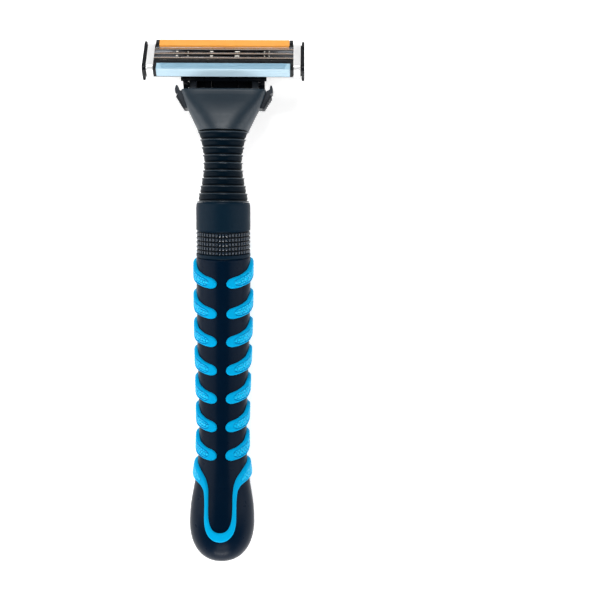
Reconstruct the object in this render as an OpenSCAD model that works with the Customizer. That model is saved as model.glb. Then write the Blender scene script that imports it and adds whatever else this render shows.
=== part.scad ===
// Cartridge razor with a side-squeeze release head.
// The razor lies on the flat back of its grip: X runs left to right, +Y points to the
// head, +Z is up, and the origin is under the middle of the whole length.
// Places along the razor are "stations": millimetres from the butt of the handle.

/* [Handle] */
// Station of the widest part of the bulb at the butt
bulb_station = 10.7; // [9:0.1:13]
// Radius of the bulb at its widest
bulb_radius = 8.35; // [7.5:0.05:8.4]
// Radius of the handle at its narrow waist
waist_radius = 6.15; // [5.8:0.05:6.5]
// Radius of the handle at the collar
collar_radius = 7; // [6.6:0.05:7.2]
// Station where the black handle ends and the knurled ring starts
knurl_station = 78.9; // [77:0.1:80]
// Station where the smooth collar starts
collar_station = 85.6; // [84:0.1:87]

/* [Grip] */
// Number of pairs of grip arms with free tips
arm_pairs = 7; // [5:1:7]
// Spacing of the grip arms along the handle
arm_pitch = 7.3; // [7:0.01:7.4]
// Width of a grip arm
arm_width = 2.85; // [2:0.05:3]
// How far the grip stands proud of the handle
grip_proud = 0.9; // [0.6:0.05:1]

/* [Neck] */
// Station where the ribbed sleeve starts
sleeve_station = 92.8; // [92:0.1:94]
// Station where the ribbed sleeve ends and the head starts
head_station = 110.6; // [110:0.1:112]
// Radius of the sleeve at its narrowest
sleeve_radius = 4.8; // [4.6:0.05:5.4]
// Number of thin ribs round the sleeve
rib_count = 10; // [6:1:12]
// Height of a rib
rib_height = 0.28; // [0.1:0.02:0.4]

/* [Head] */
// Station of the front edge of the head
head_front_station = 121.7; // [121:0.1:121.8]
// Half width of the head at its front edge
head_half_width = 11.05; // [10.8:0.05:11.2]
// Station of the pivot axis
pivot_station = 123.46; // [123.4:0.02:123.6]
// Height of the pivot axis
pivot_z = 8.5; // [8.4:0.05:8.6]
// Radius of the pivot pins
pin_radius = 0.7; // [0.6:0.05:0.75]
// Inward travel of each release button
release_travel = 1.2; // [1.15:0.05:1.3]
// Backward travel of the plunger at full tilt of the cartridge
plunger_travel = 2.2; // [2.1:0.05:2.3]
// Full tilt of the cartridge
tilt_range = 44; // [30:1:44]

/* [Cartridge] */
// Overall width of the cartridge
cart_width = 41.4; // [41.2:0.1:42]
// Depth of the face, from guard edge to strip edge
cart_depth = 11.5; // [11.4:0.1:11.6]
// Thickness of the plastic frame behind the face
cart_thick = 3.6; // [3.5:0.1:3.7]
// Angle between the face and the handle
cart_tilt = 36; // [34:1:38]
// Station of the middle of the face
cart_station = 130.66; // [130.5:0.02:130.8]
// Height of the middle of the face
cart_z = 11.5; // [11.4:0.05:11.6]
// Spacing of the blade edges
blade_pitch = 1.64; // [1.5:0.02:1.7]
// Distance each blade sinks on its springs
blade_float = 0.25; // [0.1:0.05:0.3]

/* [Hidden] */
$fn = 48;
eps = 0.01;
handle_black = "#1b232c";
head_slate = "#26333d";
button_grey = "#3a4047";
pad_grey = "#2c3238";
grip_blue = "#00a8dc";
guard_blue = "#9cc0d8";
strip_orange = "#ffae48";
steel = "#c9ccd0";

// ---- the razor's length and its place on Y
strip_top = 0.1;
overall_length = cart_station + cart_depth / 2 * cos(cart_tilt) + strip_top * sin(cart_tilt);
function y_at(station) = station - overall_length / 2;
pivot_y = y_at(pivot_station);
head_front_y = y_at(head_front_station);

// ---- the handle's axis: height over the floor against station, with its corners blended
axis_points = [[0, 8.5], [10.7, 8.4], [22, 7.8], [34, 7.5], [48, 7.45], [62, 7.65], [72, 8.1],
    [79, 8.75], [86, 9.65], [93, 10.7], [103, 12.1], [112, 12.75], [118, 12.6], [124, 12]];
blend_length = 4;
blend_steps = [-1, -0.5, 0, 0.5, 1];
function mean(values, i = 0, sum = 0) =
    i == len(values) ? sum / len(values) : mean(values, i + 1, sum + values[i]);
function blended(station, points, reach) =
    mean([for (t = blend_steps) lookup(station + t * reach, points)]);
function axis_z(station) = blended(station, axis_points, blend_length);
function axis_slope(station) = atan((axis_z(station + 1) - axis_z(station - 1)) / 2);

// ---- the handle's radius against station
bulb_power = 2.25;
radius_blend = 1.5;
ring_sides = 36;
radius_points = [[bulb_station, bulb_radius], [13.5, 8.27], [16.5, 7.9], [20, 7.22], [27, waist_radius + 0.15],
    [34.6, waist_radius], [41.6, waist_radius + 0.15], [49.5, 6.53], [56.8, 6.77], [64, 6.88],
    [71, 7], [knurl_station, collar_radius]];
function butt_radius(station) =
    bulb_radius * pow(1 - pow(1 - station / bulb_station, bulb_power), 1 / bulb_power);
function handle_radius(station) = station < bulb_station
    ? butt_radius(station)
    : min(bulb_radius, blended(station, radius_points, radius_blend));

// A ring of points round the axis at a station, square to the axis. Angle 0 is the top.
function ring(station, rx, rz, from, to, count) = [for (i = [0:count - 1])
    let (a = from + (to - from) * i / count, tilt = axis_slope(station))
    [rx * sin(a), y_at(station) - rz * cos(a) * sin(tilt), axis_z(station) + rz * cos(a) * cos(tilt)]];
function around(station, r) = ring(station, r, r, 0, 360, ring_sides);

// A solid through closed rings of equal point counts.
module skin(rings) {
    n = len(rings[0]);
    last = len(rings) - 1;
    points = [for (r = rings) for (p = r) p];
    sides = [for (k = [0:last - 1]) for (i = [0:n - 1])
        let (j = (i + 1) % n) each [[k * n + i, (k + 1) * n + j, k * n + j],
            [k * n + i, (k + 1) * n + i, (k + 1) * n + j]]];
    start = [for (i = [0:n - 1]) i];
    end = [for (i = [n - 1:-1:0]) last * n + i];
    polyhedron(points, concat([start], sides, [end]));
}

// ---- neck core: one straight round bar from inside the handle into the head
core_radius = 2.6;
core_back_station = 62;
core_front_station = 114;
core_back_z = 6.95;
core_front_z = 12.95;
core_rise = core_front_z - core_back_z;
core_run = core_front_station - core_back_station;
core_gap = 0.02;
module along_core(radius, extra) {
    length = norm([core_rise, core_run]);
    translate([0, y_at(core_back_station), core_back_z]) rotate([-90 + atan(core_rise / core_run), 0, 0])
        translate([0, 0, -extra]) cylinder(h = length + 2 * extra, r = radius);
}

module neck_core() {
    color(handle_black) along_core(core_radius, 0);
}

module handle_body() {
    steps = 18;
    butt = [for (a = [8:12:80]) bulb_station * (1 - cos(a))];
    shaft = [for (t = [0:steps]) bulb_station + (knurl_station - bulb_station) * t / steps];
    color(handle_black) difference() {
        skin([for (s = concat(butt, shaft)) around(s, handle_radius(s))]);
        along_core(core_radius + core_gap, core_gap);
    }
}

module knurled_ring() {
    color(handle_black) difference() {
        skin([for (s = [knurl_station, collar_station - 1.5, collar_station]) around(s, collar_radius)]);
        along_core(core_radius + core_gap, 0);
    }
}

module collar() {
    shoulder = sleeve_station - 1.2;
    color(head_slate) difference() {
        skin([around(collar_station, collar_radius), around((collar_station + shoulder) / 2, collar_radius),
            around(shoulder, collar_radius - 0.05), around(sleeve_station, collar_radius - 0.25)]);
        along_core(core_radius + core_gap, 0);
    }
}

// ---- ribbed sleeve: narrow in the middle, with thin lips that follow the axis
neck_end_radius = 6.3;
neck_end_half_height = 4.95;
neck_widths = [[sleeve_station, 6.5], [sleeve_station + 4, 5.6], [sleeve_station + 8, 4.88],
    [sleeve_station + 11, sleeve_radius], [sleeve_station + 15.7, 5.58], [head_station, neck_end_radius]];
neck_heights = [[sleeve_station, 6.5], [sleeve_station + 4, 5.75], [sleeve_station + 8, 5.1],
    [sleeve_station + 11, 4.8], [sleeve_station + 15.7, 4.75], [head_station, neck_end_half_height]];
function neck_ring(station, lip) = ring(station, lookup(station, neck_widths) + lip,
    lookup(station, neck_heights) + lip, 0, 360, ring_sides);
rib_half = 0.3;
rib_first = sleeve_station + 0.35;
rib_last = head_station - 0.35;

module neck_sleeve() {
    pitch = (rib_last - rib_first) / (rib_count - 1);
    ribs = [for (i = [0:rib_count - 1]) each [[rib_first + i * pitch - rib_half, 0],
        [rib_first + i * pitch, rib_height], [rib_first + i * pitch + rib_half, 0]]];
    stops = concat([[sleeve_station, 0]], ribs, [[head_station, 0]]);
    color(head_slate) difference() {
        skin([for (s = stops) neck_ring(s[0], s[1])]);
        along_core(core_radius + core_gap, 0);
    }
}

// ---- grip: arms that wrap from the front to a flat-backed spine, and a loop round the bulb
grip_gap = 0.05;
first_arm = 71.9;
// The first two arms stand this much further apart than the rest.
first_extra = 0.6;
function arm_station(i) = first_arm - i * arm_pitch - (i > 0 ? first_extra : 0);
tip_angle = 10;
end_angle = 162;
last_arm_angle = 30;
spine_half_width = 3;
spine_start = 14;
spine_gap = 0.15;
spine_end = 78.85;
spine_floor = [[74, 0], [spine_end, 0.9]];
// How far an arm has climbed towards the head, and how much wider it is, at an angle from the front.
arm_climb = [[tip_angle, 0.1], [20, 0.25], [40, 0.85], [65, 2], [85, 3.6], [100, 4.5], [120, 5.1],
    [end_angle, 5.6]];
arm_widening = [[20, 1], [40, 1.1], [65, 1.28], [85, 1.48], [120, 1.3], [end_angle, 0.82]];
tip_length = 16;
// Part of an arm's width that its flat top takes.
top_share = 0.7;
function tip_taper(angle) = let (t = min(1, max(0, angle - tip_angle) / tip_length))
    sqrt(1 - pow(1 - t, 2) + eps);
function arm_half(angle) = arm_width / 2 * lookup(angle, arm_widening) * tip_taper(angle);
// One corner of an arm's section, at an angle round the handle.
function arm_corner(side, station, angle, across, proud) =
    let (s = station + lookup(angle, arm_climb) + across, r = handle_radius(s) + proud, tilt = axis_slope(s))
    [side * r * sin(angle), y_at(s) - r * cos(angle) * sin(tilt), axis_z(s) + r * cos(angle) * cos(tilt)];
function arm_section(side, station, angle) = let (half = arm_half(angle), section = [
        arm_corner(side, station, angle, -half, grip_gap), arm_corner(side, station, angle, half, grip_gap),
        arm_corner(side, station, angle, half * top_share, grip_proud),
        arm_corner(side, station, angle, -half * top_share, grip_proud)])
    side > 0 ? section : [for (i = [3:-1:0]) section[i]];
module grip_arm(side, station, from) {
    near = [0, 1, 3, 6, 10];
    start = from + near[4];
    steps = 13;
    far = [for (i = [1:steps]) start + (end_angle - start) * i / steps];
    skin([for (a = concat([for (n = near) from + n], far)) arm_section(side, station, a)]);
}

// The spine's outer face is the flat that the razor rests on. It hugs the handle over spine_reach
// degrees to either side of the back.
spine_reach = 23;
spine_sides = 6;
function spine_ring(s) = let (r = handle_radius(s) + spine_gap, low = lookup(s, spine_floor),
    tilt = axis_slope(s), floor_y = y_at(s) + (axis_z(s) - low) * tan(tilt))
    concat([for (i = [0:spine_sides]) let (a = 180 + spine_reach - 2 * spine_reach * i / spine_sides)
        [r * sin(a), y_at(s) - r * cos(a) * sin(tilt), axis_z(s) + r * cos(a) * cos(tilt)]],
        [[spine_half_width, floor_y, low], [-spine_half_width, floor_y, low]]);
module grip_spine() {
    steps = 18;
    skin([for (i = [0:steps]) spine_ring(spine_start + (spine_end - spine_start) * i / steps)]);
}

// The loop that runs down from the last pair of arms and round the front of the bulb.
loop_top = 20.9;
loop_bend = 11.5;
loop_bottom = 7.4;
loop_half = 3.8;
loop_proud = 0.45;
// Half width of the loop's band on its sides, and how much it gains at the bottom.
band_half = 0.6;
band_gain = 0.8;
drop_steps = 4;
// A point on the front of the handle, straight above a point of the plan.
function on_front(x, s, proud) = let (r = handle_radius(s), k = 1 + proud / r)
    [x * k, y_at(s), axis_z(s) + k * sqrt(max(0, r * r - x * x))];
function loop_half_width(s) = band_half + band_gain * max(0, loop_bend - s) / (loop_bend - loop_bottom);
module grip_loop() {
    drop = [for (t = [0:drop_steps]) loop_top + (loop_bend - loop_top) * t / drop_steps];
    path = concat([for (s = drop) [loop_half, s]],
        [for (a = [15:15:165]) [loop_half * cos(a), loop_bend - (loop_bend - loop_bottom) * sin(a)]],
        [for (t = [drop_steps:-1:0]) [-loop_half, drop[t]]]);
    rings = [for (i = [0:len(path) - 1]) let (
        run = path[min(len(path) - 1, i + 1)] - path[max(0, i - 1)],
        across = [-run[1], run[0]] / norm(run) * loop_half_width(path[i][1]),
        p = path[i] + across, q = path[i] - across)
        [on_front(p[0], p[1], grip_gap), on_front(p[0], p[1], loop_proud),
            on_front(q[0], q[1], loop_proud), on_front(q[0], q[1], grip_gap)]];
    skin(rings);
}

module grip_overmould() {
    color(grip_blue) {
        for (side = [-1, 1]) {
            for (i = [0:arm_pairs - 1]) grip_arm(side, arm_station(i), tip_angle);
            grip_arm(side, arm_station(arm_pairs), last_arm_angle);
        }
        grip_spine();
        grip_loop();
    }
}

// ---- head: a flat shell that widens to the front, split into a cover and a base
split_z = 10.9;
head_gap = 0.3;
head_middle_station = head_station + 5.7;
head_widths = [[head_station, neck_end_radius], [head_middle_station, 8.95],
    [head_front_station, head_half_width]];
// Station, lowest point, highest point and corner rounding of the head's three sections.
head_sections = [[head_station + head_gap, 7.85, 17.6, 4.4], [head_middle_station, 6.2, 15.9, 3.2],
    [head_front_station, 4.4, 13.1, 1.4]];
module head_section(place) {
    round = place[3];
    middle = lookup(place[0], head_widths) - round;
    translate([0, y_at(place[0]), 0]) rotate([90, 0, 0]) linear_extrude(eps)
        for (x = [-middle, middle]) for (z = [place[1] + round, place[2] - round])
            translate([x, z]) circle(r = round, $fn = 32);
}
module head_shell() {
    for (i = [0, 1]) hull() {
        head_section(head_sections[i]);
        head_section(head_sections[i + 1]);
    }
}
module half_space(z_low, z_high) {
    translate([-20, y_at(head_station) - 5, z_low]) cube([40, 25, z_high - z_low]);
}
// Round notches in the front corners leave room for the pivot rings.
notch_x = 10.9;
notch_width = 3.6;
cover_notch_radius = 2.9;
base_notch_radius = 2.2;
module corner_notches(radius) {
    for (side = [-1, 1]) translate([side * notch_x, pivot_y, pivot_z]) rotate([0, 90, 0])
        cylinder(h = notch_width, r = radius, center = true);
}
cover_hollow = [12, 5, 2.4];
cover_hollow_station = head_station + 4.1;

module head_cover() {
    color(head_slate) difference() {
        intersection() {
            head_shell();
            half_space(split_z, 20);
        }
        translate([-cover_hollow[0] / 2, y_at(cover_hollow_station), split_z - 1]) cube(cover_hollow);
        corner_notches(cover_notch_radius);
        along_core(core_radius + core_gap, core_gap);
    }
}

// ---- release buttons: outline of one side in plan, distances from the pivot axis
spring_y = pivot_y - 4.5;
wall_half = 0.5;
carriage_low = pivot_z - 0.95;
carriage_height = 1.9;
channel_gap = 0.2;
ring_inner_x = 9.4;
ring_outer_x = 10.5;
plunger_z = pivot_z - 2.5;
plunger_radius = 0.7;
plunger_half_width = 3.5;
plunger_back_y = pivot_y - 6.3;
plunger_tip_y = pivot_y + 1.5;
spring_wall_y = pivot_y - 10.2;
nose_y = pivot_y - 1.15;
nose_half_width = 7.3;
nose_height = 5;
spring_hole_radius = 1.1;
plunger_hole_radius = 0.8;
plunger_gap = 0.15;
carriage_half_depth = 1.1;

module head_base() {
    side_pocket = [[6.7, pivot_y - 6.9], [8.5, pivot_y + 5], [20, pivot_y + 5], [20, pivot_y - 6.9]];
    channel_y = spring_y - carriage_half_depth - channel_gap;
    slot_half = plunger_half_width + plunger_gap;
    web_low = carriage_low - channel_gap;
    web_high = carriage_height + 2 * channel_gap;
    color(head_slate) difference() {
        union() {
            intersection() {
                head_shell();
                half_space(0, split_z - eps);
            }
            translate([-nose_half_width, head_front_y - 1, plunger_z - 1.3])
                cube([2 * nose_half_width, nose_y - head_front_y + 1, nose_height]);
        }
        for (side = [0, 1]) mirror([side, 0, 0]) {
            translate([0, 0, 5.9]) linear_extrude(split_z) polygon(side_pocket);
            translate([3.5, channel_y, web_low]) cube([20, 2 * (spring_y - channel_y), web_high]);
            translate([5.1, channel_y, web_low]) cube([20, 12, web_high]);
            translate([wall_half, spring_y, pivot_z]) rotate([0, 90, 0])
                cylinder(h = 4, r = spring_hole_radius);
        }
        translate([-slot_half, plunger_back_y - plunger_travel - 2 * plunger_gap,
            plunger_z - plunger_radius - plunger_gap])
            cube([2 * slot_half, 20, 2 * (plunger_radius + plunger_gap)]);
        translate([0, spring_wall_y, plunger_z]) rotate([-90, 0, 0])
            cylinder(h = 4, r = plunger_hole_radius);
        corner_notches(base_notch_radius);
        along_core(core_radius + core_gap, core_gap);
    }
}

module plunger() {
    color(handle_black) {
        translate([-plunger_half_width, plunger_back_y, plunger_z - plunger_radius])
            cube([2 * plunger_half_width, plunger_tip_y - plunger_back_y, 2 * plunger_radius]);
        translate([-plunger_half_width, plunger_tip_y, plunger_z]) rotate([0, 90, 0])
            cylinder(h = 2 * plunger_half_width, r = plunger_radius);
    }
}

// A coil spring from the origin along Z.
module coil(radius, wire, turns, length) {
    per_turn = 12;
    sides = 6;
    rise = length - 2 * wire;
    rings = [for (k = [0:turns * per_turn]) let (a = 360 * k / per_turn)
        [for (i = [0:sides - 1]) let (b = 360 * i / sides, r = radius + wire * cos(b))
            [r * cos(a), -r * sin(a), wire + rise * k / (turns * per_turn) + wire * sin(b)]]];
    skin(rings);
}
wire_radius = 0.12;
coil_turns = 6;
plunger_coil_radius = 0.6;
release_coil_radius = 0.85;
carriage_inner_x = 4.3 + release_travel;

module plunger_spring() {
    color(steel) translate([0, spring_wall_y, plunger_z]) rotate([-90, 0, 0])
        coil(plunger_coil_radius, wire_radius, coil_turns, plunger_back_y - spring_wall_y);
}

module release_spring(side) {
    color(steel) translate([side * wall_half, spring_y, pivot_z]) rotate([0, side * 90, 0])
        coil(release_coil_radius, wire_radius, coil_turns, carriage_inner_x - wall_half);
}

// An arm is a plate behind the pad, a carriage that slides in the head, and a pivot pin.
plate_low = pivot_z - 2.3;
plate_height = 4.5;
carriage_length = 4.9;
pin_root_x = 8.5;
pad_heel = [9.9, pivot_y - 6.5];
pad_toe = [11.95, pivot_y - 2.8];
module release_arm(side) {
    plate = [[8.5, pivot_y - 6.4], pad_heel, pad_toe, [12.5, pivot_y - 2.5], [12.65, pivot_y - 1.6],
        [12.4, pivot_y - 0.6], [11.95, pivot_y - 0.55], [11.8, pivot_y - 1.6], [10.9, pivot_y - 2.1],
        [10.6, pivot_y - 2.9], [9.8, pivot_y - 3.1]];
    color(button_grey) mirror([side < 0 ? 1 : 0, 0, 0]) {
        translate([0, 0, plate_low]) linear_extrude(plate_height) polygon(plate);
        translate([carriage_inner_x, spring_y - carriage_half_depth, carriage_low])
            cube([carriage_length, 2 * carriage_half_depth, carriage_height]);
        translate([7.2, spring_y - carriage_half_depth, carriage_low]) cube([1.7, 6.5, carriage_height]);
        translate([pin_root_x, pivot_y, pivot_z]) rotate([0, 90, 0])
            cylinder(h = ring_outer_x - pin_root_x, r = pin_radius);
    }
}

// Ribbed pad on the outer face of the arm, with rows of small teeth.
pad_teeth = 6;
pad_share = 0.97;
pad_low = pivot_z - 2.2;
pad_height = 4.3;
module release_pad(side) {
    run = (pad_toe - pad_heel) * pad_share;
    toe = pad_heel + run;
    out = [run[1], -run[0]] / norm(run);
    half = run / pad_teeth * 0.35;
    color(pad_grey) mirror([side < 0 ? 1 : 0, 0, 0]) translate([0, 0, pad_low]) linear_extrude(pad_height) {
        polygon([pad_heel, toe, toe + out * 0.55, pad_heel + out * 0.35]);
        for (i = [0:pad_teeth - 1]) let (at = pad_heel + run * (i + 0.5) / pad_teeth + out * 0.45)
            polygon([at - half - out * 0.2, at + half - out * 0.2, at + out * 0.3]);
    }
}

// ---- cartridge: its own frame has X along the blades, Y across the face to the strip,
// and Z out of the face, with the origin in the middle of the face
module on_cartridge() {
    translate([0, y_at(cart_station), cart_z]) rotate([-cart_tilt, 0, 0]) children();
}
half_depth = cart_depth / 2;
guard_back = -3.25;
guard_depth = 2.4;
guard_half_width = 17.05;
strip_front = 3.6;
strip_half_width = 16.85;
strip_low = -1.2;
pocket_floor = -3;
pocket_front = guard_back + 1.5;
pocket_back = strip_front - 0.25;
flange_inner = cart_width / 2 - 0.7;
clip_inner = 17.9;
clip_width = 1.85;
clip_thick = 0.25;
blade_first = -1.2;
blade_slope = 20;
blade_half_width = 17.85;
seat_gap = 0.03;
body_half_width = clip_inner - 0.1;
pocket_half_width = 19.4;
window_width = 7.2;
// How far the frame's lower front edge is cut back under the guard.
frame_undercut = 1.55;

module rounded(low, high, r) {
    translate([low[0] + r, low[1]]) square([high[0] - low[0] - 2 * r, high[1] - low[1]]);
    translate([low[0], low[1] + r]) square([high[0] - low[0], high[1] - low[1] - 2 * r]);
    for (x = [low[0] + r, high[0] - r]) for (y = [low[1] + r, high[1] - r]) translate([x, y]) circle(r = r);
}
// Extrudes a section drawn in the cartridge's Y and Z along X.
module along_x(from, to) {
    translate([from, 0, 0]) rotate([90, 0, 90]) linear_extrude(to - from) children();
}

clip_front = -4.95;
clip_back = 4.9;
clip_low = -4.1;
module clip_outline(inset) {
    rounded([clip_front + inset, clip_low + inset], [clip_back - inset, -inset], 1.3 - inset);
}

module cartridge_frame() {
    core_front = clip_front + clip_thick + seat_gap;
    core_back = clip_back - clip_thick - seat_gap;
    front = -half_depth + 0.1;
    body = [[front, -0.15], [front, -guard_depth - 0.15], [front + frame_undercut, -cart_thick],
        [-front, -cart_thick], [-front, -0.15]];
    color(handle_black) on_cartridge() difference() {
        union() {
            along_x(-body_half_width, body_half_width) polygon(body);
            along_x(-flange_inner, flange_inner) rounded([core_front, -cart_thick], [core_back, -0.4], 1);
            for (side = [-1, 1]) along_x(side > 0 ? flange_inner : -cart_width / 2,
                side > 0 ? cart_width / 2 : -flange_inner)
                rounded([clip_front - 0.35, clip_low - 0.2], [clip_back + 0.3, 0.05], 1.2);
        }
        translate([-pocket_half_width, pocket_front, pocket_floor])
            cube([2 * pocket_half_width, pocket_back - pocket_front, 5]);
        translate([-guard_half_width - seat_gap, -half_depth - 1, -guard_depth - seat_gap])
            cube([2 * (guard_half_width + seat_gap), guard_back + half_depth + 1 + seat_gap, 5]);
        translate([-strip_half_width - seat_gap, strip_front - seat_gap, strip_low - seat_gap])
            cube([2 * (strip_half_width + seat_gap), 5, 5]);
        for (x = [-14.5, -5, 5, 14.5]) translate([x - window_width / 2, -0.6, -5])
            cube([window_width, 2.9, 4]);
    }
}

// Pivot rings, the plate that carries them, and the block that the plunger pushes on.
ring_radius = 1.5;
plate_half_width = 11;
plate_thick = 0.7;
pin_gap = 0.05;
cam_gap = 0.06;
cam_half_width = plunger_half_width - 0.3;
module in_side_view() {
    translate([0, pivot_y, pivot_z]) rotate([90, 0, 90]) children();
}
module cartridge_bracket() {
    plate_top = -cart_thick - seat_gap;
    ring_arm = [[-1.1, 0.9], to_face_rel(-5.3, plate_top), to_face_rel(-1.6, plate_top), [0.9, -1.1]];
    cam_block = [[1.55, -1.3], to_face_rel(-2.6, plate_top), to_face_rel(2.6, plate_top), [4.2, -4.3],
        [2.6, -4.3], [1.75, -2.5]];
    tip = [plunger_tip_y - pivot_y, plunger_z - pivot_z];
    color(handle_black) difference() {
        union() {
            for (side = [-1, 1]) in_side_view() translate([0, 0, side > 0 ? ring_inner_x : -ring_outer_x])
                linear_extrude(ring_outer_x - ring_inner_x) {
                    circle(r = ring_radius);
                    polygon(ring_arm);
                }
            in_side_view() translate([0, 0, -cam_half_width])
                linear_extrude(2 * cam_half_width) polygon(cam_block);
            on_cartridge() translate([-plate_half_width, -5.3, plate_top - plate_thick])
                cube([2 * plate_half_width, 3.9, plate_thick]);
        }
        in_side_view() cylinder(h = 60, r = pin_radius + pin_gap, center = true);
        for (turn = [0:4:tilt_range]) in_side_view() rotate([0, 0, turn])
            translate([tip[0] - plunger_travel * turn / tilt_range, tip[1], 0]) {
                cylinder(h = 20, r = plunger_radius + cam_gap, center = true);
                translate([-10, -plunger_radius - cam_gap, -10])
                    cube([10, 2 * (plunger_radius + cam_gap), 20]);
            }
    }
}
// A point of the face, given as distance across and out of it, measured from the pivot.
function to_face_rel(across, out) =
    [y_at(cart_station) - pivot_y + across * cos(cart_tilt) + out * sin(cart_tilt),
        cart_z - pivot_z - across * sin(cart_tilt) + out * cos(cart_tilt)];

guard_fins = 4;
fin_first = -half_depth + 0.3;
fin_root = -0.45;
module guard() {
    pitch = (guard_back - fin_first) / guard_fins;
    section = concat([[-half_depth, -guard_depth], [guard_back, -guard_depth], [guard_back, fin_root]],
        [for (i = [guard_fins - 1:-1:0]) each [[fin_first + (i + 0.7) * pitch, fin_root],
            [fin_first + (i + 0.45) * pitch, 0], [fin_first + (i + 0.2) * pitch, fin_root]]],
        [[-half_depth, fin_root - 0.1]]);
    color(guard_blue) on_cartridge() along_x(-guard_half_width, guard_half_width) polygon(section);
}

module lubricating_strip() {
    section = [[strip_front, strip_low], [half_depth, strip_low], [half_depth, strip_top],
        [strip_front + 0.2, strip_top], [strip_front, strip_top - 0.2]];
    color(strip_orange) on_cartridge() along_x(-strip_half_width, strip_half_width) polygon(section);
}

module end_clip(side) {
    from = side > 0 ? clip_inner : -clip_inner - clip_width;
    color(steel) on_cartridge() along_x(from, from + clip_width) difference() {
        clip_outline(0);
        clip_outline(clip_thick);
        translate([-2.4, clip_low - 1]) square([4.8, 2]);
    }
}

// A blade lies on the sloping leg of its support; the other leg stands in the frame.
blade_thick = 0.12;
blade_run = 1.15;
support_thick = 0.25;
support_half_width = 19.2;
support_foot = pocket_floor + blade_float + 0.4;
blade_top = -0.32;
leg_y = blade_run * cos(blade_slope) + 0.02;
module at_blade(number) {
    on_cartridge() translate([0, blade_first + (number - 1) * blade_pitch, blade_top]) children();
}
module blade(number) {
    color(steel) at_blade(number) rotate([-blade_slope, 0, 0])
        translate([-blade_half_width, 0, 0]) cube([2 * blade_half_width, blade_run, blade_thick]);
}
module blade_support(number) {
    leg_top = -blade_run * sin(blade_slope);
    section = [[0.35 * cos(blade_slope), -0.35 * sin(blade_slope)], [leg_y, leg_top],
        [leg_y, support_foot - blade_top], [leg_y - support_thick, support_foot - blade_top],
        [leg_y - support_thick, leg_top - 0.2], [0.3, -0.36]];
    color(steel) at_blade(number) translate([0, 0, -0.02]) along_x(-support_half_width, support_half_width)
        polygon(section);
}
// Leaf springs under the standing leg, moulded from the frame's floor.
leaf_width = 0.5;
module blade_springs(number) {
    leaf = [[9, pocket_floor], [10, pocket_floor], [13.8, support_foot - 0.2], [13.8, support_foot - 0.02],
        [13, support_foot - 0.02], [9, pocket_floor + 0.25]];
    leaf_y = blade_first + (number - 1) * blade_pitch + leg_y - support_thick + 0.38;
    color(handle_black) on_cartridge() for (side = [0, 1]) mirror([side, 0, 0])
        translate([0, leaf_y, 0]) rotate([90, 0, 0]) linear_extrude(leaf_width) polygon(leaf);
}

handle_body();
grip_overmould();
neck_core();
neck_sleeve();
collar();
knurled_ring();
head_cover();
head_base();
plunger();
plunger_spring();
release_arm(-1);  // release_arm_left
release_arm(1);  // release_arm_right
release_pad(-1);  // release_pad_left
release_pad(1);  // release_pad_right
release_spring(-1);  // release_spring_left
release_spring(1);  // release_spring_right
cartridge_frame();
cartridge_bracket();
guard();
lubricating_strip();
end_clip(-1);  // end_clip_left
end_clip(1);  // end_clip_right
blade(1);  // blade_1
blade(2);  // blade_2
blade(3);  // blade_3
blade_support(1);  // blade_support_1
blade_support(2);  // blade_support_2
blade_support(3);  // blade_support_3
blade_springs(1);  // blade_springs_1
blade_springs(2);  // blade_springs_2
blade_springs(3);  // blade_springs_3
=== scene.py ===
"""Looks of a three-blade cartridge razor on a ribbed handle with a wrapped elastomer grip.

Lengths are millimetres until a mesh is written, where MM turns them to metres.
The razor lies on the flat back of its grip, +Y towards the head and +Z up.
"""
import math

import bmesh
import bpy
import numpy as np
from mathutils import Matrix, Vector


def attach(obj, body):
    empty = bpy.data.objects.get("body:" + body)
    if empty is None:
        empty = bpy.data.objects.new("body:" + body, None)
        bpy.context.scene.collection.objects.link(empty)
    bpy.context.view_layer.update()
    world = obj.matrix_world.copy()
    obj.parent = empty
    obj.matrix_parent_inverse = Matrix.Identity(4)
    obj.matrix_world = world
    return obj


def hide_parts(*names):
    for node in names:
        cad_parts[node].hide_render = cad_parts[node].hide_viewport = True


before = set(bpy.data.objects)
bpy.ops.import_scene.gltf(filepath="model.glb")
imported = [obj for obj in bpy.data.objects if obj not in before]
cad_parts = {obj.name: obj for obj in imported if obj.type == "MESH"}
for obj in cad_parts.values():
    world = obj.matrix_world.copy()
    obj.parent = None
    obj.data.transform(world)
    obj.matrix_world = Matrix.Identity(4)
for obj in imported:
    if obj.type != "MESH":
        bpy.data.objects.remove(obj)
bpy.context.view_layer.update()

MM = 0.001

# ---- sizes shared with the CAD part
LENGTH = 135.3706
BULB_STATION = 10.7
BULB_RADIUS = 8.35
BULB_POWER = 2.25
KNURL_STATION = 78.9
SLEEVE_STATION = 92.8
HEAD_STATION = 110.6
HEAD_FRONT_STATION = 121.7
COLLAR_RADIUS = 7.0
PIVOT_Y = 55.775
PIVOT_Z = 8.5
CART_Y = 62.975
CART_Z = 11.5
CART_TILT = math.radians(36)
AXIS = [(0, 8.5), (10.7, 8.4), (22, 7.8), (34, 7.5), (48, 7.45), (62, 7.65), (72, 8.1), (79, 8.75),
        (86, 9.65), (93, 10.7), (103, 12.1), (112, 12.75), (118, 12.6), (124, 12)]
RADII = [(10.7, 8.35), (13.5, 8.27), (16.5, 7.9), (20, 7.22), (27, 6.3), (34.6, 6.15), (41.6, 6.3),
         (49.5, 6.53), (56.8, 6.77), (64, 6.88), (71, 7), (78.9, 7)]
NECK_WIDTHS = [(92.8, 6.5), (96.8, 5.6), (100.8, 4.88), (103.8, 4.8), (108.5, 5.58), (110.6, 6.3)]
NECK_HEIGHTS = [(92.8, 6.5), (96.8, 5.75), (100.8, 5.1), (103.8, 4.8), (108.5, 4.75), (110.6, 4.95)]
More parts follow.
